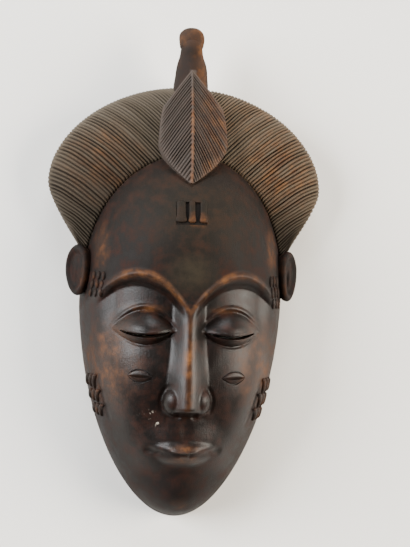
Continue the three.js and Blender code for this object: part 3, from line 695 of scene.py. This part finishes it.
def sunk(x, y, width, height, depth, lens):
    """A cutter for a shallow field square on the face, oblong or pointed like a lens."""
    middle, right, up, normal = stand(x, y)
    a = np.linspace(-1, 1, 13)
    v = 1 - a * a
    u, v = np.concatenate([a, a[-2:0:-1]]), np.concatenate([v, -v[-2:0:-1]])
    if not lens:
        u, v = np.array([-1, 1, 1, -1]), np.array([1, 1, -1, -1])
    flat = width / 2 * u[:, None] * right + height / 2 * v[:, None] * up
    return tube(np.stack([middle + 0.96 * flat - depth * normal, middle + 1.05 * flat + 8 * normal]))


def fields():
    """The field of the forehead bars, and a lens round each cheek mark."""
    m = FOREHEAD_MARK
    made = [sunk(m["x"], m["y"], m["width"], m["height"], m["sink"], False)]
    m = CHEEK_MARK
    for side in (-1, 1):
        made.append(sunk(side * m["x"], m["y"], m["length"], m["height"], m["sink"], True))
    return together(made)


scars = block("scars", *pads())
# The sunk fields take the groove mark: painted shade on their sunk floors and walls.
scar_fields = block("fields", *fields(), groove=0.7)

# The back: hollowed with a gouge to an even wall, in strokes along the mask, with a flat rim
# that is hollowed a little at both sides, and a slit cut through under each upper lid.
WALL, FRONT_WALL = 12.0, 14.0
GOUGE_WIDTH, GOUGE_DEPTH = 9.0, 0.55
RIM_ARCH = dict(start=-120.0, end=58.0, high=8.0, reach=110.0)
SLIT_Z = (40, 120)  # from inside the hollow to clear of the face


def hollow():
    """The outside's own shape, one wall in, raised by a row of shallow gouge strokes."""
    dx, dy = disc_grid(64, 84, 0.0)
    x, y = egg_plan(dx, dy, WALL)
    stroke = (x / GOUGE_WIDTH + 0.15 * np.sin(y / 11)) % 1
    uneven = 0.75 + 0.25 * np.sin(y / 13 + np.floor(x / GOUGE_WIDTH) * 2.4)
    cut = GOUGE_DEPTH * (1 - (2 * stroke - 1) ** 2) * uneven
    radius = np.hypot(dx, dy)
    z = dome_z(radius, DOME_DEPTH - FRONT_WALL) + cut * smooth(1, 0.9, radius)
    return block("hollow", *dome(x, y, z, -1.0), raw=1.0)


def rim_arch():
    """A long low prism across the rim, its top a flattened half wave."""
    t = np.linspace(0, 1, 40)
    y = RIM_ARCH["start"] + (RIM_ARCH["end"] - RIM_ARCH["start"]) * t
    z = RIM_ARCH["high"] * np.sin(np.pi * t) ** 0.8 - 0.01
    ring = np.stack([0 * y, y, z], -1)
    ring = np.concatenate([ring, [[0, RIM_ARCH["end"], -5], [0, RIM_ARCH["start"], -5]]])
    out = [RIM_ARCH["reach"], 0, 0]
    return block("arch", *tube(np.stack([ring - out, ring + out])), raw=1.0)


def slit(side):
    """A thin upright blade, bowed along the lower lid and pointed at both ends."""
    u = np.sin(np.linspace(-1, 1, 29) * np.pi / 2) * 0.998
    x = side * (EYE["x"] + SLIT["half"] * u)
    line = SLIT["y"] + SLIT["curl"] * u * u
    half = SLIT["open"] * np.sqrt(1 - u * u) + 0.1
    deep, clear = 0 * x + SLIT_Z[0], 0 * x + SLIT_Z[1]
    corners = [(x, line - half, deep), (x, line + half, deep), (x, line + half, clear),
               (x, line - half, clear)]
    # The slit's walls take the groove mark: painted shade inside the slit.
    return block("slit", *tube(np.array(corners).transpose(2, 0, 1)), groove=1.0)


cutters = [hollow(), rim_arch(), slit(-1), slit(1)]

# The forms above are all one piece of wood, so they are joined to one closed skin, and then
# the cutters are taken out of it, as the carver takes wood out of the block.


def carve(body, tool, action):
    """Adds the tool to the body or cuts it out, and removes the tool."""
    change = body.modifiers.new("carve", "BOOLEAN")
    change.operation = action
    change.solver = "MANIFOLD"
    change.object = tool
    depsgraph = bpy.context.evaluated_depsgraph_get()
    done = bpy.data.meshes.new_from_object(body.evaluated_get(depsgraph))
    body.modifiers.clear()
    bpy.data.meshes.remove(tool.data)
    old, body.data = body.data, done
    bpy.data.meshes.remove(old)


for form in [*wings, *ears, stem, cup, leaf]:
    carve(mask, form, "UNION")
carve(mask, scar_fields, "DIFFERENCE")
carve(mask, scars, "UNION")
for cutter in cutters:
    carve(mask, cutter, "DIFFERENCE")


def read(data, field_name, size, kind=np.float32):
    """One field of every element of a mesh's list, as rows of an array."""
    values = np.zeros(len(data) * size, kind)
    data.foreach_get(field_name, values)
    return values.reshape(-1, size) if size > 1 else values


def keep(mark, value):
    """Writes a mark's value for every point of the mask, and makes the mark if it is new."""
    stored = mesh.attributes.get(mark) or mesh.attributes.new(mark, "FLOAT", "POINT")
    stored.data.foreach_set("value", value.astype(np.float32))


# Where the forms meet, the joining leaves new points with no marks: each takes its neighbours'
mesh = mask.data
edges = read(mesh.edges, "vertices", 2, np.int32)
known = read(mesh.attributes["known"].data, "value", 1).astype(float)
known = (known > 0.99).astype(float)
for _ in range(6):
    near = np.zeros(len(known))
    np.add.at(near, edges[:, 0], known[edges[:, 1]])
    np.add.at(near, edges[:, 1], known[edges[:, 0]])
    fill = (known == 0) & (near > 0)
    for mark in MARKS:
        value = read(mesh.attributes[mark].data, "value", 1).astype(float)
        total = np.zeros(len(known))
        np.add.at(total, edges[:, 0], (value * known)[edges[:, 1]])
        np.add.at(total, edges[:, 1], (value * known)[edges[:, 0]])
        value[fill] = total[fill] / near[fill]
        keep(mark, value)
    known[fill] = 1
mesh.attributes.remove(mesh.attributes["known"])

# The wood: a dense African hardwood, stained near black, waxed and handled for years. The
# stain has rubbed through to orange-brown on the ridges, and dust has dulled the hair.
STAIN_DARK, STAIN_MID, STAIN_RED, GROOVE_SHADE = "#0d0907", "#16100e", "#32180f", "#0b0706"
HAIR_DULL, CREST_DULL, DUST = "#5a5042", "#423b36", "#29241b"
WORN, BARE, RAW_WOOD, CHIPPED = "#50301b", "#8a5a2e", "#4c3829", "#a39a8c"
GLOSS = 0.19
DULLER = dict(hair=(0.28, 0.07), crest=(0.22, 0.09), raw=(0.38, 0.13), matt=(0.28, 0.09))


def linear(code):
    """An sRGB hex colour as the linear numbers that a shader takes."""
    s = np.array([int(code[k:k + 2], 16) for k in (1, 3, 5)]) / 255
    return (*np.where(s <= 0.04045, s / 12.92, ((s + 0.055) / 1.055) ** 2.4), 1.0)


place = read(mesh.vertices, "co", 3).astype(float) / UNIT + [0, MIDDLE_Y, 0]
px, py, pz = place.T
ax = np.abs(px)
groove, hair, crested, raw = (read(mesh.attributes[n].data, "value", 1) for n in MARKS[:4])
radius = egg_radius(px, py)

# The whole back is raw wood, the rim too: what faces down, and all that is low and inside
down = -read(mesh.vertex_normals, "vector", 3)[:, 2]
raw = np.maximum(raw, smooth(0.2, 0.5, down) * (pz < 10))
raw = np.maximum(raw, (radius < 0.985) * (pz < 9))
face = (1 - hair) * (1 - crested) * (1 - raw)
below = brow_line(px) - py
from_rib = px - LEAF["rib"]
over_leaf = np.abs(from_rib) < 1.08 * leaf_half(py) + 2
on_leaf = crested * (py < LEAF["apex"]) * (pz > 47) * over_leaf
on_stalk = crested - on_leaf
proud = np.where(radius < 0.99, pz - face_z(px, py), 0) * face
lip_line = mound((py - MOUTH["y"] - px * px / 350) / 1.7, px / MOUTH["half"])
# Painted shade, through the groove mark: in every place sunk below the face, along the cut beside the
# jaw marks and in the line between the lips.
groove = np.maximum(groove, smooth(0.3, 1.0, -proud) * (pz > 12))
groove = np.maximum(groove, face * np.maximum(0.9 * jaw_cut(px, py), 0.7 * lip_line))

# Rubbed places: where, how strongly, then the middle and half size across and up the mask
low_face, field_foot = face * smooth(0.9, 0.3, proud), face * smooth(-1.4, -0.6, proud)
RUBBED = (
    (face, px, 0.60, 0, -58, 6, 44),  # the ridge of the nose
    (face, px, 0.50, 0, -160, 8, 7),  # the chin
    (face, ax, 0.30, 61, 22, 7, 22),  # the temples
    (face, ax, 0.30, EYE["x"], -20, 24, 4),  # the upper lids
    (low_face, ax, 0.28, 52, -58, 26, 42),  # the cheeks
    (field_foot, px, 1.00, 3, 42, 10, 7),  # the feet of the forehead's bars
    (hair, px, 0.80, -60, 80, 42, 40),
    (hair, px, 0.85, 66, 82, 50, 52),
    (hair, px, 0.40, 42, 118, 50, 40),
)
worn = face * 0.45 * mound((below + BROW_RIDGE["above"]) / 4.5) * (1 - smooth(44, 60, ax))
worn = np.maximum(worn, face * 0.55 * mound(px / 15, (np.abs(py - MOUTH["y"]) - 4) / 4))
worn = np.maximum(worn, face * 0.12 * smooth(0.8, 1.8, proud))
for where, across, strength, x0, y0, half, tall in RUBBED:
    spot = strength * mound((across - x0) / half, (py - y0) / tall)
    worn = np.maximum(worn, where * spot)
worn = np.maximum(worn, on_leaf * (0.05 + 0.55 * smooth(1, 14, from_rib)))
worn = np.maximum(worn, on_leaf * mound(from_rib / 2.1) * smooth(146, 116, py))
worn = np.maximum(worn, on_stalk * (0.05 + 0.55 * mound((px - 5) / 9)))
on_knob = crested * smooth(165, 168, py) * smooth(182, 177, py)
worn = np.maximum(worn, on_knob * (0.36 + 0.2 * smooth(-6, 4, px)))

# Dust lies in the hollow between the brows. Painted shade darkens the hair low down and on
# its left, the face towards the bottom of the chin, and the stalk on its left.
dust = 0.9 * mound(px / 26, (py - 6) / 22)
dust = face * np.maximum(dust, 0.4 * mound(px / 70, (py - 48) / 60))
painted_shade = np.maximum(hair * smooth(70, 26, py), face * 0.7 * smooth(-128, -160, py))
painted_shade = np.maximum(painted_shade, hair * (0.42 + 0.4 * smooth(96, 66, py)) * smooth(24, -24, px))
stalk_shade = np.maximum(0.75 * smooth(172, 160, py), 0.25)
painted_shade = np.maximum(painted_shade, on_stalk * stalk_shade * smooth(7, 1, px))
chips = face * np.maximum(mound((px + 27) / 8, (py + 93) / 3), mound((px + 20) / 7, (py + 97) / 6))
matt = np.maximum(smooth(-4, 8, -below), 0.8 * smooth(0.75, 0.95, radius))
matt = np.maximum(matt, smooth(-118, -150, py))
matt = np.maximum(face * matt, on_stalk)
crested = on_leaf + 0.45 * on_stalk
kept = dict(groove=groove, crest=crested, raw=raw, worn=worn, dust=dust, chips=chips, matt=matt,
            painted_shade=painted_shade)
for mark, value in kept.items():
    keep(mark, value)


def add(tree, kind, settings, **inputs):
    """Adds one node with its own settings. An input takes a value, a socket or a node, and an
    underscore in its name stands for a space."""
    made = tree.nodes.new("ShaderNode" + kind)
    for name, value in settings.items():
        setattr(made, name, value)
    for name, value in inputs.items():
        socket = next(s for s in made.inputs
                      if s.enabled and name in (s.identifier, s.name.replace(" ", "_")))
        if isinstance(value, bpy.types.Node):
            value = next(s for s in value.outputs if s.enabled)
        if isinstance(value, bpy.types.NodeSocket):
            tree.links.new(value, socket)
        else:
            socket.default_value = value
    return made


def waxed_hardwood():
    """Dark stain in broad clouds with reddish mottling, rubbed through where worn is high; painted
    shade in every groove and cut, and on the lower and left parts; the hair and the crest are streaked
    along each strand."""
    wood = bpy.data.materials.new("waxed_hardwood")
    wood.use_nodes = True
    tree = wood.node_tree
    tree.nodes.clear()
    where = add(tree, "TexCoord", {}).outputs["Object"]
    mark = {name: add(tree, "Attribute", {"attribute_name": name}).outputs["Fac"]
            for name in (*MARKS, "worn", "dust", "chips", "matt", "painted_shade")}

    def noise(scale, detail, roughness=0.5, vector=where):
        return add(tree, "TexNoise", {}, Vector=vector, Scale=scale, Detail=detail,
                   Roughness=roughness)

    def spread(value, low, high, bottom=0.0, top=1.0):
        """A value's span from low to high, drawn out to the span from bottom to top."""
        return add(tree, "MapRange", {}, Value=value, From_Min=low, From_Max=high, To_Min=bottom,
                   To_Max=top)

    def times(value, by):
        return add(tree, "Math", {"operation": "MULTIPLY"}, Value=value, Value_001=by)

    def plus(value, more):
        return add(tree, "Math", {"operation": "ADD"}, Value=value, Value_001=more)

    def cover(share, under, over):
        """One colour laid over another, by a share from 0 to 1."""
        return add(tree, "Mix", {"data_type": "RGBA"}, Factor_Float=share, A_Color=under, B_Color=over)

    clouds = noise(16.0, 4.0)  # 60 mm
    mottle = noise(110.0, 5.0, 0.65)  # 9 mm
    along = add(tree, "Mapping", {}, Vector=where, Scale=(1, 0.06, 1))
    grain = noise(1300.0, 2.0, vector=along)  # 0.8 by 13 mm
    speckle = noise(1100.0, 3.0, 0.7)  # 0.9 mm
    lane = add(tree, "CombineXYZ", {}, X=times(mark["strand"], 0.7), Y=times(mark["reach"], 3.0))
    streak = noise(1.0, 3.0, 0.6, lane)

    colour = cover(spread(clouds, 0.35, 0.65), linear(STAIN_DARK), linear(STAIN_MID))
    colour = cover(spread(mottle, 0.45, 0.75, top=0.6), colour, linear(STAIN_RED))
    colour = cover(spread(grain, 0.5, 0.75, top=0.5), colour, linear(STAIN_MID))
    colour = cover(times(mark["hair"], 0.9), colour, linear(HAIR_DULL))
    colour = cover(times(mark["crest"], 0.8), colour, linear(CREST_DULL))
    patchy = spread(mottle, 0.3, 0.6, bottom=0.5)
    colour = cover(times(mark["dust"], patchy), colour, linear(DUST))

    bare = cover(spread(mottle, 0.45, 0.75), linear(WORN), linear(BARE))
    soft = spread(mottle, 0.25, 0.7, bottom=0.25)
    striped = spread(streak, 0.32, 0.68)
    combed_wood = add(tree, "Math", {"operation": "MAXIMUM"}, Value=mark["hair"],
                      Value_001=mark["crest"])
    uneven = add(tree, "Mix", {"data_type": "FLOAT"}, Factor_Float=combed_wood, A_Float=soft,
                 B_Float=striped)
    colour = cover(times(mark["worn"], uneven), colour, bare)
    colour = cover(times(mark["raw"], 0.85), colour, linear(RAW_WOOD))
    # Painted shade: the hair low down and on its left, the chin's bottom and the stalk's left side are
    # darkened.
    colour = cover(times(mark["painted_shade"], 0.6), colour, linear(STAIN_MID))
    # Painted shade in every groove, cut and sunk place.
    colour = cover(times(mark["groove"], 0.8), colour, linear(GROOVE_SHADE))
    fleck = spread(noise(260.0, 2.0), 0.6, 0.64)
    colour = cover(times(mark["chips"], fleck), colour, linear(CHIPPED))

    rough, gloss = spread(mottle, 0.3, 0.7, 0.3, 0.46), GLOSS
    for name, (rougher, fainter) in DULLER.items():
        rough = plus(rough, times(mark[name], rougher))
        gloss = plus(gloss, times(mark[name], -fainter))
    bump = add(tree, "Bump", {}, Strength=0.8, Distance=0.0002, Height=speckle)
    bump = add(tree, "Bump", {}, Strength=0.5, Distance=0.00015, Height=grain, Normal=bump)
    shader = add(tree, "BsdfPrincipled", {}, Base_Color=colour, Roughness=rough, Normal=bump,
                 IOR=1.48, Specular_IOR_Level=gloss)
    add(tree, "OutputMaterial", {}, Surface=shader)
    return wood


mesh.materials.clear()
mesh.materials.append(waxed_hardwood())
mesh.polygons.foreach_set("use_smooth", np.ones(len(mesh.polygons), bool))
mesh.polygons.foreach_set("material_index", np.zeros(len(mesh.polygons), np.int32))
mesh.set_sharp_from_angle(angle=np.radians(42))
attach(mask, "root")
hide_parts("mask")

# The floor: a pale, matt studio sheet that the mask lies on, between a broad window on its
# left and a weaker one on its right, with a dim room above and the camera straight over it.
FLOOR_HALF, FLOOR_GAP = 3.0, 0.0002
PAPER_PALE = "#eae7e1"
floor_sheet = bpy.data.meshes.new("floor")
square = np.array([(-1, -1, 0), (1, -1, 0), (1, 1, 0), (-1, 1, 0)]) * FLOOR_HALF
floor_sheet.from_pydata(square.tolist(), [], [(0, 1, 2, 3)])
paper = bpy.data.materials.new("studio_paper")
paper.use_nodes = True
paper_shader = paper.node_tree.nodes["Principled BSDF"]
paper_shader.inputs["Base Color"].default_value = linear(PAPER_PALE)
paper_shader.inputs["Roughness"].default_value = 0.9
floor_sheet.materials.append(paper)
floor = bpy.data.objects.new("floor", floor_sheet)
floor.location.z = low.z - FLOOR_GAP
bpy.context.scene.collection.objects.link(floor)

DAYLIGHT, WARM_DAYLIGHT, SKY = (0.96, 0.98, 1.0), (1.0, 0.93, 0.82), (0.95, 0.98, 1.0)


def window(name, spot, size, power, tint):
    """A square soft lamp that faces the middle of the mask."""
    lamp = bpy.data.lights.new(name, "AREA")
    lamp.shape = "SQUARE"
    lamp.size = size
    lamp.energy = power
    lamp.color = tint
    made = bpy.data.objects.new(name, lamp)
    turned = Vector(spot).to_track_quat("Z", "Y").to_matrix().to_4x4()
    made.matrix_world = Matrix.Translation(spot) @ turned
    bpy.context.scene.collection.objects.link(made)


window("left_window", (-2.2, 0.5, 1.3), 1.6, 240, DAYLIGHT)
window("right_window", (2.2, 0.1, 1.3), 1.6, 195, WARM_DAYLIGHT)
window("far_window", (0.0, 2.4, 1.1), 1.2, 75, SKY)
world = bpy.data.worlds.new("studio")
world.use_nodes = True
background = world.node_tree.nodes["Background"]
background.inputs["Color"].default_value = (*DAYLIGHT, 1)
background.inputs["Strength"].default_value = 0.11
bpy.context.scene.world = world

# The camera looks down on the mask from a little to its left, 0.8 m away, turned about two
# degrees, so that the mask fills the picture as it does in the photograph.
CAMERA = dict(away=800.0, yaw=-7.2, roll=1.9, x=15.3, y=3.2, z=30.0, lens=1092.0)
PICTURE_TALL = 547  # pixels, the unit of the lens's length above
seen = bpy.data.cameras.new("camera")
seen.sensor_fit = "VERTICAL"
seen.sensor_height = 36
seen.lens = CAMERA["lens"] * seen.sensor_height / PICTURE_TALL
camera = bpy.data.objects.new("camera", seen)
turned = (Matrix.Rotation(np.radians(CAMERA["yaw"]), 4, "Y")
          @ Matrix.Rotation(np.radians(CAMERA["roll"]), 4, "Z"))
target = Matrix.Translation(Vector((CAMERA["x"], CAMERA["y"], CAMERA["z"])) * UNIT)
camera.matrix_world = target @ turned @ Matrix.Translation((0, 0, CAMERA["away"] * UNIT))
bpy.context.scene.collection.objects.link(camera)
bpy.context.scene.camera = camera
